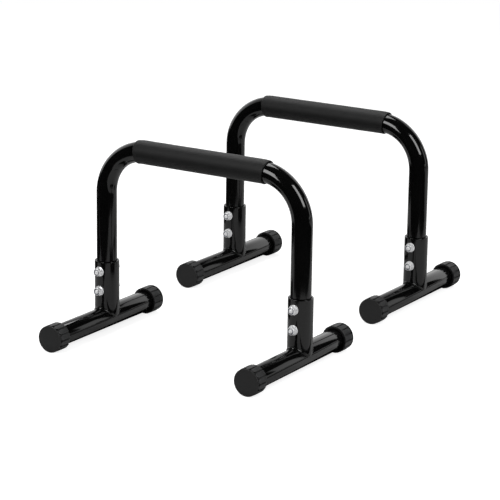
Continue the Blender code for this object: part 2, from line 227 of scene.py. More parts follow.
BETWEEN_BARS_HEIGHTS = (0.045, 0.30)
# Painted shadow, seen only in the tubes' reflections: the floor's shadow round each foot
UNDER_FOOT_CARD = 0.017  # to each side of a foot's axis
BESIDE_FOOT_CARD = 0.10  # from a foot's axis
BESIDE_FOOT_HEIGHTS = (0.003, 0.014)
BESIDE_FOOT_EXTRA = 0.2  # past the foot's far end

FACING_NEAR = Matrix.Rotation(math.pi / 2, 4, "X")  # turns a piece's +Z to -Y
FACING_FAR = Matrix.Rotation(-math.pi / 2, 4, "X")
UPRIGHT = Matrix.Identity(4)


# Meshes


def add(name, data):
    """A new object in the scene."""
    made = bpy.data.objects.new(name, data)
    bpy.context.scene.collection.objects.link(made)
    return made


def spread(ends, steps):
    """The numbers from one to another, in even steps."""
    return [ends[0] + (ends[1] - ends[0]) * step / steps for step in range(steps + 1)]


def quarter_turn(steps):
    """The angles from 0 to 90 degrees, in even steps."""
    return spread((0.0, math.pi / 2), steps)


def turns(count):
    """The angles of the corners of a many-sided circle."""
    return [math.tau * (step / count) for step in range(count)]


def polar(radius, turn, height):
    """A point at a turn round the Z axis."""
    return (radius * math.cos(turn), radius * math.sin(turn), height)


def circle(radius, height, sides):
    """A ring of points about the Z axis."""
    return [polar(radius, turn, height) for turn in turns(sides)]


def finish_mesh(mesh):
    """Turns the faces outwards, and shades all but the sharp edges as smooth."""
    shape = bmesh.new()
    shape.from_mesh(mesh)
    bmesh.ops.recalc_face_normals(shape, faces=shape.faces)
    shape.to_mesh(mesh)
    shape.free()
    mesh.shade_smooth()
    mesh.set_sharp_from_angle(angle=SMOOTH_ANGLE)
    return mesh


def loft(name, rings, closed=False):
    """A skin over rings of points. A closed one joins its last ring to its first, and an open one
    is capped at both ends."""
    sides = len(rings[0])
    pairs = [(i, i + 1) for i in range(len(rings) - 1)]
    if closed:
        pairs.append((len(rings) - 1, 0))
    faces = []
    for this, following in pairs:
        this, following = this * sides, following * sides
        for i in range(sides):
            j = (i + 1) % sides
            faces.append((this + i, this + j, following + j, following + i))
    if not closed:
        last = (len(rings) - 1) * sides
        faces.append(tuple(range(sides)))
        faces.append(tuple(range(last, last + sides)))
    mesh = bpy.data.meshes.new(name)
    mesh.from_pydata([tuple(point) for ring in rings for point in ring], [], faces)
    return finish_mesh(mesh)


def rounded(corners, steps=CORNER_STEPS):
    """The points of a closed outline with rounded corners, each given as (x, y, radius)."""
    points = []
    for i, (x, y, radius) in enumerate(corners):
        corner = Vector((x, y))
        if radius == 0.0:
            points.append(corner)
            continue
        before = (Vector(corners[i - 1][:2]) - corner).normalized()
        after = (Vector(corners[(i + 1) % len(corners)][:2]) - corner).normalized()
        half = before.angle(after) / 2
        centre = corner + (before + after).normalized() * radius / math.sin(half)
        start = corner + before * radius / math.tan(half) - centre
        sweep = start.angle_signed(corner + after * radius / math.tan(half) - centre)
        for step in range(steps + 1):
            points.append(centre + Matrix.Rotation(-sweep * step / steps, 2) @ start)
    return points


def divided(outline, longest):
    """A closed outline with its long sides divided."""
    points = []
    for start, end in zip(outline, outline[1:] + outline[:1]):
        parts = max(1, math.ceil((end - start).length / longest))
        points += [start.lerp(end, part / parts) for part in range(parts)]
    return points


def turned_ring(name, inside, outside, heights, edges, sides, steps=CORNER_STEPS):
    """A ring about Z with a flat section, each of whose four corners is rounded by its own edge.
    The corners go from the bore's foot outwards, up and back in."""
    low, high = heights
    corners = ((inside, low), (outside, low), (outside, high), (inside, high))
    outline = rounded([(*corner, edge) for corner, edge in zip(corners, edges)], steps)
    return loft(name, [circle(radius, height, sides) for radius, height in outline], closed=True)


def drilled(mesh, holes):
    """Drills a bolt's hole along Y at each (x, z)."""
    worked = add(mesh.name, mesh)
    cutters = []
    section = circle(BOLT_RADIUS + BORE_CLEARANCE, 0.0, HOLE_SIDES)
    for x, z in holes:
        rings = [[(x + px, y, z + pz) for px, pz, _ in section] for y in DRILL_ENDS]
        cutters.append(add("hole", loft("hole", rings)))
        cut = worked.modifiers.new("hole", "BOOLEAN")
        cut.object = cutters[-1]
        cut.solver = "EXACT"
    bpy.context.view_layer.update()
    graph = bpy.context.evaluated_depsgraph_get()
    made = bpy.data.meshes.new_from_object(worked.evaluated_get(graph))
    made.name = mesh.name
    for helper in (worked, *cutters):
        bpy.data.objects.remove(helper)
    return finish_mesh(made)


# The bent tube and its sleeve


class Handle:
    """The axis of a bar's bent tube, with its middle over the bar's own origin."""

    def __init__(self, label):
        low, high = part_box(f"{label}_frame_tube")
        self.radius = (high.y - low.y) / 2
        self.middle = Vector(((low.x + high.x) / 2, (low.y + high.y) / 2, 0.0))
        self.height = high.z - self.radius
        self.half_spacing = (high.x - low.x) / 2 - self.radius
        self.straight = self.half_spacing - BEND_RADIUS
        self.arc = BEND_RADIUS * math.pi / 2
        self.half_length = self.straight + self.arc + self.height - BEND_RADIUS - low.z

    def at(self, distance):
        """The axis at a distance from the handle's middle, the direction out of the bend, and
        the angle through which the tube has turned."""
        side = math.copysign(1.0, distance)
        distance = abs(distance)
        turn = min(max((distance - self.straight) / BEND_RADIUS, 0.0), math.pi / 2)
        along = min(distance, self.straight) + BEND_RADIUS * math.sin(turn)
        down = BEND_RADIUS * (1 - math.cos(turn)) + max(distance - self.straight - self.arc, 0.0)
        centre = Vector((side * along, 0.0, self.height - down))
        return centre, Vector((side * math.sin(turn), 0.0, math.cos(turn))), turn

    def ring(self, distance, radius, sides):
        """A section of the tube. It is slightly flattened where the tube is bent."""
        centre, outward, turn = self.at(distance)
        flat = BEND_FLATTENING * math.sin(2 * turn) ** 2
        across = Vector((0.0, radius * (1 + flat / 2), 0.0))
        outward = outward * radius * (1 - flat)
        return [centre + outward * math.cos(a) + across * math.sin(a) for a in turns(sides)]


def frame_tube_mesh(handle, holes):
    """The bent tube with its wall, and with a hole through each leg for each bolt."""
    end = handle.half_length
    inside = handle.radius - TUBE_WALL
    outline = rounded(
        [
            (-end, inside, 0.0),
            (-end, handle.radius, TUBE_END_EDGE),
            (end, handle.radius, TUBE_END_EDGE),
            (end, inside, 0.0),
        ]
    )
    rings = [handle.ring(s, radius, TUBE_SIDES) for s, radius in divided(outline, PATH_STEP)]
    return drilled(loft("frame_tube", rings, closed=True), holes)


def foam_wave(point):
    """How far the foam's skin dips at a point."""
    spot = Vector([along * waves for along, waves in zip(point, FOAM_WAVES)])
    return FOAM_WAVE * (1 + noise.noise(spot))


def foam_grip_mesh(handle, outside):
    """The foam sleeve. Its skin waves a little, as pulled-on foam does, and its ends are cut."""
    end = FOAM_LENGTH / 2
    outline = rounded(
        [
            (-end + FOAM_MOUTH_DEPTH, FOAM_INSIDE, 0.0),
            (-end, FOAM_MOUTH, FOAM_MOUTH_EDGE),
            (-end, outside, FOAM_EDGE),
            (end, outside, FOAM_EDGE),
            (end, FOAM_MOUTH, FOAM_MOUTH_EDGE),
            (end - FOAM_MOUTH_DEPTH, FOAM_INSIDE, 0.0),
        ],
        FOAM_EDGE_STEPS,
    )
    rings = []
    for s, radius in divided(outline, PATH_STEP / 2):
        ring = handle.ring(s, radius, TUBE_SIDES)
        if radius > FOAM_SKIN:
            centre = handle.at(s)[0]
            ring = [point - (point - centre).normalized() * foam_wave(point) for point in ring]
        rings.append(ring)
    return loft("foam_grip", rings, closed=True)


# The foot tube, its socket and its caps


def foot_tube_mesh(radius, length):
    """A straight tube along Z, with its middle at the origin."""
    heights = (-length / 2, length / 2)
    edges = [TUBE_END_EDGE] * 4
    inside = radius - TUBE_WALL
    return turned_ring("foot_tube", inside, radius, heights, edges, TUBE_SIDES, FOOT_END_STEPS)


def bead_middle(turn, socket_radius, foot_radius):
    """The middle of the weld bead's round section, as (distance from the leg's axis, height)."""
    end_reach = socket_radius + WELD_LIFT
    side_reach = min(foot_radius, end_reach)
    reach = 1 / math.hypot(math.cos(turn) / side_reach, math.sin(turn) / end_reach)
    saddle = foot_radius + WELD_LIFT
    return reach, math.sqrt(saddle**2 - (reach * math.cos(turn)) ** 2)


def toe_angle(turn, reach, height, foot_radius):
    """The angle round the weld bead at which it meets the foot tube."""
    high, low = math.pi / 2, -math.pi / 2
    for _ in range(TOE_HALVINGS):
        angle = (high + low) / 2
        across = (reach + WELD_RADIUS * math.cos(angle)) * math.cos(turn)
        if math.hypot(across, height + WELD_RADIUS * math.sin(angle)) > foot_radius:
            high = angle
        else:
            low = angle
    return high


def socket_wall(socket_radius, top, wall_end):
    """The socket's wall, from its bore over its rounded top and down to the weld bead."""
    bore = socket_radius - SOCKET_WALL
    points = [(bore, top - SOCKET_TOP_EDGE / 2), (bore + SOCKET_TOP_EDGE / 2, top)]
    for angle in reversed(quarter_turn(SOCKET_TOP_STEPS)):
        out = socket_radius - SOCKET_TOP_EDGE * (1 - math.cos(angle))
        points.append((out, top - SOCKET_TOP_EDGE * (1 - math.sin(angle))))
    for part in SOCKET_WALL_PARTS:
        points.append((socket_radius, (top - SOCKET_TOP_EDGE) * (1 - part) + wall_end * part))
    return points


def weld_bead(turn, middle, angles):
    """The rippled bead, between two angles round its middle."""
    reach, height = middle
    points = []
    for part in spread((0.0, 1.0), WELD_STEPS):
        angle = angles[0] + (angles[1] - angles[0]) * part
        wave = math.sin(WELD_RIPPLES * turn + WELD_RIPPLE_BOW * math.cos(math.pi * part))
        spot = Vector(polar(WELD_LUMPS_ROUND, turn, WELD_LUMPS_ACROSS * part))
        wave += WELD_LUMPS * noise.noise(spot)
        bead = WELD_RADIUS + WELD_RIPPLE_DEPTH * wave * math.sin(math.pi * part)
        points.append((reach + bead * math.cos(angle), height + bead * math.sin(angle)))
    return points


def socket_section(turn, socket_radius, foot_radius, top):
    """The socket's wall and weld bead at a turn round the leg's axis, as points of
    (distance from that axis, height above the foot tube's axis)."""
    reach, height = bead_middle(turn, socket_radius, foot_radius)
    sunk = foot_radius - WELD_SINK
    leaves_wall = math.acos(min(1.0, (socket_radius - reach) / WELD_RADIUS))
    toe = toe_angle(turn, reach, height, sunk)
    section = socket_wall(socket_radius, top, height + WELD_RADIUS * math.sin(leaves_wall))
    section += weld_bead(turn, (reach, height), (leaves_wall, toe))
    for out in spread((section[-1][0], socket_radius - SOCKET_WALL), SADDLE_STEPS)[1:]:
        section.append((out, math.sqrt(sunk**2 - (out * math.cos(turn)) ** 2)))
    return section


def socket_mesh(socket_radius, foot_radius, top, holes):
    """The upright tube on the foot, with the weld bead that runs round the saddle."""
    rings = []
    for turn in turns(SOCKET_SIDES):
        section = socket_section(turn, socket_radius, foot_radius, top)
        rings.append([polar(out, turn, height) for out, height in section])
    return drilled(loft("socket", rings, closed=True), holes)


def rib_positions(share):
    """The corners of one rib and the groove after it, as (part of the pitch, height from 0, the
    groove's floor, to 1, the rib's face)."""
    half = share / 2
    rising = [(-0.5, 0.0)]
    rising += [(-half + RIB_EDGE * edges, height) for edges, height in RIB_SIDE]
    rising += [(-half / 2, 1.0)]
    falling = [(-part, height) for part, height in reversed(rising[1:])]
    return rising + [(0.0, 1.0)] + falling


def rib_share(height):
    """The part of the circle that the ribs take up, at a height over the cap's end."""
    straight = CAP_POCKET_LENGTH * CAP_POCKET_STRAIGHT
    part = (height - CAP_RIM_WIDTH - straight) / (CAP_POCKET_LENGTH - straight)
    part = min(max(part, 0.0), 1.0)
    return RIB_SHARE_AT_POCKET + (RIB_SHARE - RIB_SHARE_AT_POCKET) * part * part * (3 - 2 * part)


def cap_ring(share, rib_face, groove, height):
    """A ring round a cap: how much of it the ribs take up, the distance from the axis to a rib's
    flat face, and the radius of a groove's floor."""
    pitch = math.tau / RIB_COUNT
    ring = []
    for rib in range(RIB_COUNT):
        for part, rise in rib_positions(share):
            flat = rib_face / math.cos(part * pitch)
            turn = -math.pi / 2 + rib * pitch + part * pitch
            ring.append(polar(groove + (flat - groove) * rise, turn, height))
    return ring


def cap_circle(radius, height):
    """A round ring of a cap, with its points at the turns of the ribs' corners."""
    pitch = math.tau / RIB_COUNT
    places = [part for part, _ in rib_positions(rib_share(height))]
    return [
        polar(radius, -math.pi / 2 + (rib + part) * pitch, height)
        for rib in range(RIB_COUNT)
        for part in places
    ]


def cap_end_rings(rim, groove):
    """The disc of a cap's end, its rounded rim and the groove behind the rim."""
    rings = [cap_circle(rim * part, 0.0) for part in CAP_DISC_PARTS]
    for angle in quarter_turn(CAP_RIM_STEPS):
        inset = CAP_RIM_EDGE * (1 - math.sin(angle))
        rings.append(cap_circle(rim - inset, CAP_RIM_EDGE * (1 - math.cos(angle))))
    back = (
        (rim, CAP_RIM_WIDTH - 2 * SUPPORT),
        (rim - 2 * SUPPORT, CAP_RIM_WIDTH),
        (groove + 2 * SUPPORT, CAP_RIM_WIDTH + SUPPORT),
        (groove, CAP_RIBS_START - 2 * SUPPORT),
    )
    return rings + [cap_circle(radius, height) for radius, height in back]


def cap_rib_rings(rib_face, groove, mouth):
    """The ribs, from their sloping noses to the mouth. The grooves rise towards the mouth."""
    notch = rib_face - CAP_NOTCH_DEPTH
    rings = [cap_ring(RIB_SHARE_AT_POCKET, notch, groove, CAP_RIBS_START - SUPPORT)]
    for angle in quarter_turn(CAP_NOSE_STEPS):
        face = notch + CAP_NOTCH_DEPTH * math.sin(angle)
        height = CAP_RIBS_START + CAP_NOSE_LENGTH * (1 - math.cos(angle))
        rings.append(cap_ring(rib_share(height), face, groove, height))
    nose_end = CAP_RIBS_START + CAP_NOSE_LENGTH
    for part in spread((0.0, 1.0), RIB_STEPS)[1:-1]:
        part = part**RIB_CROWDING
        height = nose_end + (mouth - nose_end) * part
        floor = groove + CAP_GROOVE_RISE * part
        rings.append(cap_ring(rib_share(height), rib_face, floor, height))
    return rings


def cap_mouth_rings(rib_face, groove, length):
    """The rounded edge of a cap's mouth."""
    mouth = length - CAP_MOUTH_EDGE
    rings = [cap_ring(RIB_SHARE, rib_face, groove, mouth - 3 * SUPPORT)]
    for angle in quarter_turn(CAP_MOUTH_STEPS):
        inset = CAP_MOUTH_EDGE * (1 - math.cos(angle))
        height = mouth + CAP_MOUTH_EDGE * math.sin(angle)
        rings.append(cap_ring(RIB_SHARE, rib_face - inset, groove - inset / 2, height))
    flat = CAP_MOUTH_EDGE + 2 * SUPPORT
    rings.append(cap_ring(RIB_SHARE, rib_face - flat, groove - flat / 2, length))
    return rings


def end_cap_mesh(rib_face, length):
    """A ribbed cap with a smooth disc for its end. The disc is at height 0."""
    groove = rib_face - RIB_HEIGHT
    bore = (
        (CAP_LEAD_IN_RADIUS + 2 * SUPPORT, length),
        (CAP_LEAD_IN_RADIUS, length - SUPPORT),
        (CAP_BORE, length - CAP_LEAD_IN_DEPTH),
        (CAP_BORE, CAP_END_WALL),
        (CAP_BORE * CAP_INNER_DISC_PART, CAP_END_WALL),
    )
    rings = cap_end_rings(rib_face - CAP_RIM_INSET, groove)
    rings += cap_rib_rings(rib_face, groove, length - CAP_MOUTH_EDGE)
    rings += cap_mouth_rings(rib_face, groove + CAP_GROOVE_RISE, length)
    rings += [cap_circle(radius, height) for radius, height in bore]
    return loft("end_cap", rings)


# The bolts


def hexagon_radius(turn, corner_turn):
    """How far out a hexagon's side lies at a turn. Its corners are slightly rounded."""
    sixth = math.tau / 6
    off_flat = (turn - corner_turn) % sixth - sixth / 2
    corner = HEXAGON / math.sqrt(3) * HEXAGON_CORNER
    return min(HEXAGON / 2 / math.cos(off_flat), corner)


def hexagon_ring(height, faces, corner_turn=math.pi / 2):
    """A ring of a hexagon that is chamfered at the heights of its faces."""
    ring = []
    for turn in turns(FASTENER_SIDES):
        radius = hexagon_radius(turn, corner_turn)
        for face in faces:
            chamfer = HEXAGON / 2 * CHAMFER_START + abs(height - face) / math.tan(CHAMFER_ANGLE)
            radius = min(radius, chamfer)
        ring.append(polar(radius, turn, height))
    return ring


def chamfer_heights(face, direction):
    """Heights close enough together to draw a hexagon's chamfer, from one of its faces inwards."""
    return spread((face, face + direction * CHAMFER_DEPTH), CHAMFER_STEPS)


def thread_ring(height, limit):
    """A ring of the screw thread, brought in to no more than a limit from the Z axis."""
    ring = []
    for turn in turns(FASTENER_SIDES):
        phase = (height / THREAD_PITCH + turn / math.tau) % 1.0
        cut = min(max(abs(2 * phase - 1) * THREAD_SLOPE - THREAD_CREST, 0.0), 1.0)
        ring.append(polar(min(BOLT_RADIUS - THREAD_DEPTH * cut, limit), turn, height))
    return ring


def thread_rings(tip):
    """The thread, which runs out over the chamfer round the bolt's tip."""
    start = tip - THREAD_LENGTH
    chamfer_start = tip - TIP_CROWN - TIP_CHAMFER
    count = round(THREAD_LENGTH / THREAD_PITCH * THREAD_RINGS)
    rings = []
    for step in range(1, count):
        height = start + (THREAD_LENGTH - TIP_CROWN) * step / count
        rings.append(thread_ring(height, BOLT_RADIUS - max(0.0, height - chamfer_start)))
    return rings


def tip_rings(tip):
    """The domed end of the bolt."""
    rings = []
    for step in range(TIP_STEPS):
        angle = TIP_CROWN_ANGLE * (1 - step / TIP_STEPS)
        out = (BOLT_RADIUS - TIP_CHAMFER) * math.sin(angle) / math.sin(TIP_CROWN_ANGLE)
        drop = TIP_CROWN * (1 - math.cos(angle)) / (1 - math.cos(TIP_CROWN_ANGLE))
        rings.append(circle(out, tip - drop, FASTENER_SIDES))
    return rings


def bolt_mesh(head_face, tip):
    """A bolt along Z, with height 0 at the leg's axis. Its thread is cut near the tip."""
    end = head_face - HEAD_HEIGHT
    rings = [circle(HEXAGON * part, end, FASTENER_SIDES) for part in HEAD_DISC_PARTS]
    for height in chamfer_heights(end, 1) + [head_face]:
        rings.append(hexagon_ring(height, [end], math.pi / 2 + HEAD_TURN))
    shank = ((FILLET, head_face), (0.0, head_face + FILLET), (0.0, tip - THREAD_LENGTH))
    rings += [circle(BOLT_RADIUS + out, height, FASTENER_SIDES) for out, height in shank]
    return loft("bolt", rings + thread_rings(tip) + tip_rings(tip))


def lock_nut_mesh(height):
    """A hexagon nut whose round collar is crimped over a nylon ring. Its seat is at height 0."""
    bore = BOLT_RADIUS + BORE_CLEARANCE
    recess = bore + NYLON_WALL + BORE_CLEARANCE
    recess_floor = height - NUT_RECESS_DEPTH
    collar = recess + NUT_COLLAR_WALL
    section = [(collar + FILLET, NUT_HEX_HEIGHT), (collar, NUT_HEX_HEIGHT + FILLET)]
    for angle in quarter_turn(NUT_CRIMP_STEPS):
        out = collar - NUT_CRIMP_REACH * (1 - math.cos(angle))
        section.append((out, height - NUT_CRIMP_HEIGHT * (1 - math.sin(angle))))
    section += [(recess + out, height + up) for out, up in NUT_LIP]
    section += [(recess, recess_floor), (bore, recess_floor)]
    section += [(bore, NUT_LEAD_IN), (bore + NUT_LEAD_IN, 0.0)]
    sides = chamfer_heights(0.0, 1) + chamfer_heights(NUT_HEX_HEIGHT, -1)[::-1]
    rings = [hexagon_ring(z, [0.0, NUT_HEX_HEIGHT]) for z in sides]
    rings += [circle(radius, z, FASTENER_SIDES) for radius, z in section]
    return loft("lock_nut", rings, closed=True)


def nylon_ring_mesh(thickness):
    """The ring that grips the bolt. It stands a little back from the nut's crimped edge."""
    inside = BOLT_RADIUS + NYLON_PLAY
    outside = BOLT_RADIUS + BORE_CLEARANCE + NYLON_WALL
    heights = (0.0, thickness - NYLON_SET_BACK)
    return turned_ring("nylon_ring", inside, outside, heights, NYLON_EDGES, FASTENER_SIDES)


def washer_mesh(radius, thickness):
    """A flat washer, stamped: rounded on one side and with a slight burr edge on the other."""
    inside = BOLT_RADIUS + BORE_CLEARANCE
    return turned_ring("washer", inside, radius, (0.0, thickness), WASHER_EDGES, FASTENER_SIDES)


# Materials


def grey(level):
    """A colour without a hue."""
    return (level, level, level)


def new_material(name):
    """An empty material, with its node tree and its shader."""
    made = bpy.data.materials.new(name)
    made.use_nodes = True
    return made, made.node_tree, made.node_tree.nodes["Principled BSDF"]


def noise_value(tree, scale, detail):
    """A noise over the piece's own coordinates. The scale is in waves for each metre."""
    coordinates = tree.nodes.new("ShaderNodeTexCoord")
    made = tree.nodes.new("ShaderNodeTexNoise")
    made.inputs["Scale"].default_value = scale
    made.inputs["Detail"].default_value = detail
    tree.links.new(coordinates.outputs["Object"], made.inputs["Vector"])
    return made.outputs["Fac"]


def ramp(tree, value, colours):
    """A colour that goes from the first to the second as a cloud's value rises."""
    made = tree.nodes.new("ShaderNodeValToRGB")
    for element, stop, colour in zip(made.color_ramp.elements, CLOUD_STOPS, colours):
        element.position = stop
        element.color = (*colour, 1.0)
    tree.links.new(value, made.inputs["Fac"])
    return made.outputs["Color"]


def span(tree, value, results, between=(0.0, 1.0)):
    """A value between two numbers, brought between two others."""
    made = tree.nodes.new("ShaderNodeMapRange")
    made.inputs["From Min"].default_value, made.inputs["From Max"].default_value = between
    made.inputs["To Min"].default_value, made.inputs["To Max"].default_value = results
    tree.links.new(value, made.inputs["Value"])
    return made.outputs["Result"]


def combined(tree, operation, first, second):
    """Two values combined by a Math node."""
    made = tree.nodes.new("ShaderNodeMath")
    made.operation = operation
    tree.links.new(first, made.inputs[0])
    tree.links.new(second, made.inputs[1])
    return made.outputs[0]


def bump(tree, height, depth):
    """A bump of a depth in metres."""
    made = tree.nodes.new("ShaderNodeBump")
    made.inputs["Distance"].default_value = depth
    tree.links.new(height, made.inputs["Height"])
    return made.outputs["Normal"]


def clouded(name, clouds, colours, roughness, grain, depth):
    """A material whose colour and roughness change in soft clouds, and whose grain is a bump of
    a depth. Clouds and grain are (waves for each metre, detail). Gives the material, its node
    tree, its shader and the clouds' value."""
    made, tree, shader = new_material(name)
    cloud = noise_value(tree, *clouds)
    tree.links.new(ramp(tree, cloud, colours), shader.inputs["Base Color"])
    tree.links.new(span(tree, cloud, roughness), shader.inputs["Roughness"])
    tree.links.new(bump(tree, noise_value(tree, *grain), depth), shader.inputs["Normal"])
    return made, tree, shader, cloud


def gloss_paint():
    """Thick black gloss: a slight orange peel, and small changes of gloss."""
    return clouded(
        "gloss_black_paint",
        clouds=(18.0, 3.0),
        colours=(grey(0.0018), grey(0.0028)),
        roughness=(0.05, 0.12),
        grain=(320.0, 1.0),
        depth=0.00001,
    )[0]


def foam():
    """Closed-cell foam with a skin: matt, and covered in fine pores."""
    made, _, shader, _ = clouded(
        "black_foam",
        clouds=(45.0, 4.0),
        colours=((0.005, 0.005, 0.0052), grey(0.0075)),
        roughness=(0.52, 0.62),
        grain=(1400.0, 2.0),
        depth=0.00008,
    )
    shader.inputs["Specular IOR Level"].default_value = 0.33
    shader.inputs["Sheen Weight"].default_value = 0.03
    shader.inputs["Sheen Roughness"].default_value = 0.4
    return made


def painted_highlight(tree, colour, patches, radius):
    """A colour with a painted highlight: it pales in patches where a round piece is widest."""
    coordinates = tree.nodes.new("ShaderNodeTexCoord")
    flat = tree.nodes.new("ShaderNodeVectorMath")
    flat.operation = "MULTIPLY"
    flat.inputs[1].default_value = (1.0, 1.0, 0.0)  # leaves out the height
    tree.links.new(coordinates.outputs["Object"], flat.inputs[0])
    out = tree.nodes.new("ShaderNodeVectorMath")
    out.operation = "LENGTH"
    tree.links.new(flat.outputs["Vector"], out.inputs[0])
    edge = span(tree, out.outputs["Value"], (0.0, 1.0), (radius - PAINTED_HIGHLIGHT_DEPTH, radius))
    mix = tree.nodes.new("ShaderNodeMix")
    mix.data_type = "RGBA"
    tree.links.new(combined(tree, "MULTIPLY", edge, patches), mix.inputs["Factor"])
    # A Mix node's colours are its inputs 6 and 7 and its output 2
    tree.links.new(colour, mix.inputs[6])
    mix.inputs[7].default_value = (*PAINTED_HIGHLIGHT_COLOUR, 1.0)
    return mix.outputs[2]


def moulded_plastic(radius):
    """The caps' plastic, with a fine spark-eroded grain and a painted highlight."""
    made, tree, shader, cloud = clouded(
        "dark_moulded_cap",
        clouds=(60.0, 3.0),
        colours=((0.0075, 0.0077, 0.008), grey(0.0097)),
        roughness=(0.38, 0.52),
        grain=(2600.0, 2.0),
        depth=0.00003,
    )
    shader.inputs["Specular IOR Level"].default_value = 0.38
    colour = shader.inputs["Base Color"]
    # A painted highlight: paler patches where the cap is widest
    tree.links.new(painted_highlight(tree, colour.links[0].from_socket, cloud, radius), colour)
    return made


def zinc(name, clearness, roughness):
    """Bright zinc plate under a white bloom. The clearness is the part that mirrors."""
    made, _, shader, _ = clouded(
        name,
        clouds=(400.0, 3.0),
        colours=((0.92, 0.925, 0.94), (0.98, 0.982, 0.985)),
        roughness=roughness,
        grain=(1800.0, 2.0),
        depth=0.00001,
    )
    shader.inputs["Metallic"].default_value = clearness
    return made


def nylon():
    """The lock nuts' blue nylon, darkened to navy by painted shade of the nut's recess."""
    return clouded(
        "blue_nylon",
        clouds=(500.0, 3.0),
        # Dark navy: the nylon's blue with the shade of the nut's recess painted in
        colours=((0.008, 0.014, 0.05), (0.02, 0.034, 0.09)),
        roughness=(0.35, 0.5),
        grain=(500.0, 3.0),
        depth=0.00001,
    )[0]


# Placing the pieces


def place(node, body, mesh, origin, facing=UPRIGHT):
    """One piece, which stands for a CAD node and rides on its body."""
    made = add(f"{node}_piece", mesh)
    made.matrix_world = Matrix.Translation(origin) @ facing
    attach(made, body)
    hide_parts(node)
    return made


def box_middle(node):
    """The middle of a node's box."""
    low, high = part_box(node)
    return (low + high) / 2


def along_y(node):
    """A node's length along Y."""
    low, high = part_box(node)
    return high.y - low.y


def half_height(node):
    """Half of a node's height, which is the radius of one that lies along Y."""
    low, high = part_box(node)
    return (high.z - low.z) / 2


def dress_fasteners(label, body, meshes, axis_y):
    """A bolt with its washers, its lock nut and the nut's nylon ring."""
    middle = box_middle(f"{label}_bolt")
    for part, mesh, slot, facing in (
        ("nut", "lock_nut", "zinc_plate", FACING_NEAR),
        ("nut_washer", "washer", "zinc_plate", FACING_NEAR),
        ("nylon_ring", "nylon_ring", "blue_nylon", FACING_NEAR),
        ("head_washer", "washer", "zinc_plate", FACING_FAR),
    ):
        low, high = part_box(f"{label}_{part}")
        seat = high.y if facing is FACING_NEAR else low.y
        origin = Vector((middle.x, seat, middle.z))
        place(f"{label}_{part}", body, meshes[mesh], origin, facing)
    origin = Vector((middle.x, axis_y, middle.z))
    place(f"{label}_bolt", body, meshes["bolt"], origin, FACING_NEAR)


def dress_foot(label, body, meshes, axis_y):
    """A foot tube, its caps, its socket and its bolts."""
    foot = box_middle(f"{label}_foot_tube")
    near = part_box(f"{label}_near_cap")[0].y
    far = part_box(f"{label}_far_cap")[1].y
    for part, mesh, y, slot, facing in (
        ("foot_tube", "foot_tube", foot.y, "gloss_black_paint", FACING_NEAR),
        ("socket", "socket", axis_y, "gloss_black_paint", UPRIGHT),
        ("near_cap", "end_cap", near, "dark_moulded_cap", FACING_FAR),
        ("far_cap", "end_cap", far, "dark_moulded_cap", FACING_NEAR),
    ):
        origin = Vector((foot.x, y, foot.z))
        place(f"{label}_{part}", body, meshes[mesh], origin, facing)
    for level in ("upper", "lower"):
        dress_fasteners(f"{label}_{level}", body, meshes, axis_y)


def make_meshes(handle):
    """The mesh of each kind of piece, with its material. The front bar's nodes give the sizes."""
    foot_low, foot_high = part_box("front_left_foot_tube")
    foot_radius = half_height("front_left_foot_tube")
    foot_height = (foot_high.z + foot_low.z) / 2
    socket_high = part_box("front_left_socket")[1]
    socket_radius = socket_high.x - box_middle("front_left_foot_tube").x
    bolt_low, bolt_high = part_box("front_left_upper_bolt")
    tip = handle.middle.y - bolt_low.y
    head_face = handle.middle.y - bolt_high.y + HEAD_HEIGHT
    bolts = [box_middle(f"front_left_{level}_bolt").z for level in ("upper", "lower")]
    legs = (-handle.half_spacing, handle.half_spacing)
    leg_holes = [(x, z) for x in legs for z in bolts]
    socket_holes = [(0.0, z - foot_height) for z in bolts]
    built = {
        "frame_tube": frame_tube_mesh(handle, leg_holes),
        "foam_grip": foam_grip_mesh(handle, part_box("front_foam_grip")[1].z - handle.height),
        "foot_tube": foot_tube_mesh(foot_radius, along_y("front_left_foot_tube")),
        "socket": socket_mesh(
            socket_radius, foot_radius, socket_high.z - foot_height, socket_holes
        ),
        "end_cap": end_cap_mesh(foot_height, along_y("front_left_near_cap")),
        "bolt": bolt_mesh(head_face, tip),
        "washer": washer_mesh(
            half_height("front_left_upper_nut_washer"), along_y("front_left_upper_nut_washer")
        ),
        "lock_nut": lock_nut_mesh(along_y("front_left_upper_nut")),
        "nylon_ring": nylon_ring_mesh(along_y("front_left_upper_nylon_ring")),
    }
    paint = gloss_paint()
    plate = zinc("zinc_plate", 0.45, (0.12, 0.22))
    materials = {
        "frame_tube": paint,
        "foam_grip": foam(),
        "foot_tube": paint,
        "socket": paint,
        "end_cap": moulded_plastic(foot_height),
        "bolt": zinc("white_zinc_plate", 0.25, (0.2, 0.3)),
        "washer": plate,
        "lock_nut": plate,
        "nylon_ring": nylon(),
    }
    for kind, mesh in built.items():
        mesh.materials.append(materials[kind])
    return built


def dress_bar(label, meshes):
    """All the pieces of one bar."""
    handle = Handle(label)
    body = f"{label}_bar"
    tube, foam_sleeve = meshes["frame_tube"], meshes["foam_grip"]
    place(f"{label}_frame_tube", body, tube, handle.middle)
    grip = place(f"{label}_foam_grip", body, foam_sleeve, handle.middle)
    for side in ("left", "right"):
        dress_foot(f"{label}_{side}", body, meshes, handle.middle.y)


# Camera, floor and light


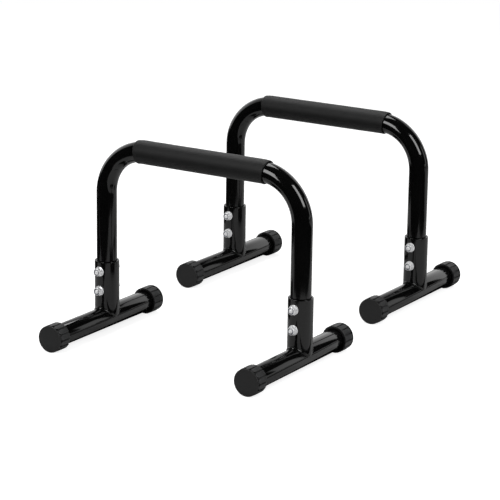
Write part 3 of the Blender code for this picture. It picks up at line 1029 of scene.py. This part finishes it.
def make_camera(front_middle):
    """The photograph's camera."""
    forward = Vector(
        (
            -math.sin(CAMERA_AZIMUTH) * math.cos(CAMERA_PITCH),
            math.cos(CAMERA_AZIMUTH) * math.cos(CAMERA_PITCH),
            -math.sin(CAMERA_PITCH),
        )
    )
    right = Vector((math.cos(CAMERA_AZIMUTH), math.sin(CAMERA_AZIMUTH), 0.0))
    up = right.cross(forward)
    roll = Matrix.Rotation(CAMERA_ROLL, 3, -forward)
    axes = Matrix((roll @ right, roll @ up, -forward)).transposed().to_4x4()
    data = bpy.data.cameras.new("camera")
    data.sensor_width = CAMERA_SENSOR
    data.lens = CAMERA_LENS
    data.clip_end = CAMERA_REACH
    made = add("camera", data)
    spot = front_middle + CAMERA_AIM - forward * CAMERA_DISTANCE
    made.matrix_world = Matrix.Translation(spot) @ axes
    bpy.context.scene.camera = made


def toward(azimuth, elevation):
    """A direction in degrees: azimuth 0 is +Y and 90 is +X, and elevation is above the horizon."""
    azimuth, elevation = math.radians(azimuth), math.radians(elevation)
    level = math.cos(elevation)
    return Vector((math.sin(azimuth) * level, math.cos(azimuth) * level, math.sin(elevation)))


def mixed(tree, factor, first, second):
    """Goes from the first strength to the second. Each is a number or another node's output."""
    mix = tree.nodes.new("ShaderNodeMix")
    tree.links.new(factor, mix.inputs["Factor"])
    for socket, strength in ((mix.inputs["A"], first), (mix.inputs["B"], second)):
        if isinstance(strength, float):
            socket.default_value = strength
        else:
            tree.links.new(strength, socket)
    return mix.outputs["Result"]


def strengths(tree, camera, mirrored, others):
    """A strength for the camera's rays, one for mirrored and refracted ones, one for the rest."""
    path = tree.nodes.new("ShaderNodeLightPath")
    glossy, clear = path.outputs["Is Glossy Ray"], path.outputs["Is Transmission Ray"]
    unseen = mixed(tree, combined(tree, "MAXIMUM", glossy, clear), others, mirrored)
    return mixed(tree, path.outputs["Is Camera Ray"], unseen, camera)


def make_world():
    """White for the camera's rays, and a plain pale light for the rest. Mirrored rays see a
    backdrop that is white at the horizon and greyer above it."""
    world = bpy.data.worlds.new("studio")
    world.use_nodes = True
    tree = world.node_tree
    direction = tree.nodes.new("ShaderNodeTexCoord")
    parts = tree.nodes.new("ShaderNodeSeparateXYZ")
    tree.links.new(direction.outputs["Generated"], parts.inputs["Vector"])
    backdrop = span(tree, parts.outputs["Z"], (BACKDROP, BACKDROP_ABOVE), BACKDROP_FADE)
    background = tree.nodes["Background"]
    background.inputs["Color"].default_value = (1.0, 1.0, 1.0, 1.0)
    tree.links.new(strengths(tree, 1.0, backdrop, AMBIENT), background.inputs["Strength"])
    bpy.context.scene.world = world


def make_floor():
    """A pale floor. It comes out white, and keeps the object's shadow."""
    floor = add("floor", bpy.data.meshes.new("floor"))
    corners = [(-1, -1, 0), (1, -1, 0), (1, 1, 0), (-1, 1, 0)]
    corners = [(x * FLOOR_REACH, y * FLOOR_REACH, z) for x, y, z in corners]
    floor.data.from_pydata(corners, [], [(0, 1, 2, 3)])
    made, tree, shader = new_material("floor")
    shader.inputs["Base Color"].default_value = (*grey(FLOOR_COLOUR), 1.0)
    shader.inputs["Roughness"].default_value = 0.9
    shader.inputs["Specular IOR Level"].default_value = 0.0
    shader.inputs["Emission Color"].default_value = (1.0, 1.0, 1.0, 1.0)
    glow = strengths(tree, FLOOR_GLOW, FLOOR_MIRRORED_GLOW, 0.0)
    tree.links.new(glow, shader.inputs["Emission Strength"])
    floor.data.materials.append(made)


def softbox(name, azimuth, elevation, distance, width, height, brightness):
    """A soft rectangular lamp that looks at the middle of the object."""
    data = bpy.data.lights.new(name, "AREA")
    data.shape = "RECTANGLE"
    data.size = width
    data.size_y = height
    data.energy = brightness * math.pi * width * height
    made = add(name, data)
    made.location = STUDIO_MIDDLE + toward(azimuth, elevation) * distance
    made.rotation_mode = "QUATERNION"
    made.rotation_quaternion = (-toward(azimuth, elevation)).to_track_quat("-Z", "Y")
    made.visible_camera = False


def card_black(name):
    """A black that mirrors nothing, with its node tree and its shader."""
    _, tree, shader = new_material(name)
    shader.inputs["Base Color"].default_value = (*grey(CARD_COLOUR), 1.0)
    shader.inputs["Specular IOR Level"].default_value = 0.0
    return tree, shader


def one_way_black(name):
    """Black from the front, and clear from behind."""
    tree, shader = card_black(name)
    side = tree.nodes.new("ShaderNodeNewGeometry")
    clear = tree.nodes.new("ShaderNodeBsdfTransparent")
    mix = tree.nodes.new("ShaderNodeMixShader")
    tree.links.new(side.outputs["Backfacing"], mix.inputs["Fac"])
    tree.links.new(shader.outputs["BSDF"], mix.inputs[1])
    tree.links.new(clear.outputs["BSDF"], mix.inputs[2])
    tree.links.new(mix.outputs["Shader"], tree.nodes["Material Output"].inputs["Surface"])


def black_card(name, rows, material="black_card"):
    """A black card that only mirrored rays see, from rows of points."""
    count = len(rows[0])
    faces = []
    for start in range(0, (len(rows) - 1) * count, count):
        for i in range(start, start + count - 1):
            faces.append((i, i + 1, i + count + 1, i + count))
    card = add(name, bpy.data.meshes.new(name))
    card.data.from_pydata([tuple(point) for row in rows for point in row], [], faces)
    card.data.materials.append(bpy.data.materials[material])
    card.visible_camera = False
    card.visible_diffuse = False
    card.visible_shadow = False
    card.visible_transmission = False
    card.visible_volume_scatter = False


def hung_card(name, azimuths, elevations):
    """A curved black card round the studio, between two azimuths and two elevations."""
    rows = []
    for elevation in spread(elevations, CARD_ROWS):
        across = spread(azimuths, CARD_COLUMNS)
        rows.append([STUDIO_MIDDLE + toward(a, elevation) * CARD_DISTANCE for a in across])
    black_card(name, rows)


def lying_card(name, columns, rows):
    """A flat black card just over the floor, between two places along X and two along Y."""
    black_card(name, [[(x, y, LYING_HEIGHT) for x in columns] for y in rows])


def standing_card(name, columns, rows, heights, material="black_card"):
    """An upright black card between two places on the floor."""
    ends = list(zip(columns, rows))
    black_card(name, [[(x, y, z) for x, y in ends] for z in heights], material)


def ring_card(name, leg):
    """A flat black card just over the floor, round a leg."""
    middle = Vector((leg.x, leg.y, RING_CARD_HEIGHT))
    rows = []
    for reach in (RING_CARD_START, CARD_REACH):
        across = spread(RING_CARD_AZIMUTHS, CARD_COLUMNS)
        rows.append([middle + toward(a, 0) * reach for a in across])
    black_card(name, rows)


def make_foot_shadow_cards(label):
    """Painted shadow: the low cards under and beside a foot, which draw the dark stripes along it.
    """
    low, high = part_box(f"{label}_foot_tube")
    middle = (low.x + high.x) / 2
    sides = (middle - UNDER_FOOT_CARD, middle + UNDER_FOOT_CARD)
    lying_card(f"shadow_card_under_{label}_foot", sides, (low.y, high.y))
    beside = (middle + BESIDE_FOOT_CARD,) * 2
    ends = (low.y, high.y + BESIDE_FOOT_EXTRA)
    standing_card(f"shadow_card_beside_{label}_foot", beside, ends, BESIDE_FOOT_HEIGHTS)


def make_studio():
    """The lamps, and the black cards that keep the paint dark where the photograph's is."""
    for lamp in LAMPS:
        softbox(*lamp)
    card_black("black_card")
    one_way_black("one_way_black_card")
    for name, (azimuths, elevations) in HUNG_CARDS.items():
        hung_card(name, azimuths, elevations)
    for name, (columns, rows) in LYING_CARDS.items():
        lying_card(name, columns, rows)
    ring_card("card_round_the_right_leg", box_middle("front_right_socket"))
    standing_card(
        "card_between_the_bars",
        (CARD_REACH, -CARD_REACH),
        (BETWEEN_BARS_Y, BETWEEN_BARS_Y),
        BETWEEN_BARS_HEIGHTS,
        "one_way_black_card",
    )
    # Painted shadow round each foot, which only the tubes' reflections show
    for label in ("front_left", "front_right", "rear_left", "rear_right"):
        make_foot_shadow_cards(label)


def main():
    handle = Handle("front")
    meshes = make_meshes(handle)
    for label in ("front", "rear"):
        dress_bar(label, meshes)
    make_camera(handle.middle)
    make_world()
    make_floor()
    make_studio()
    bpy.context.scene.view_settings.view_transform = "Standard"


main()
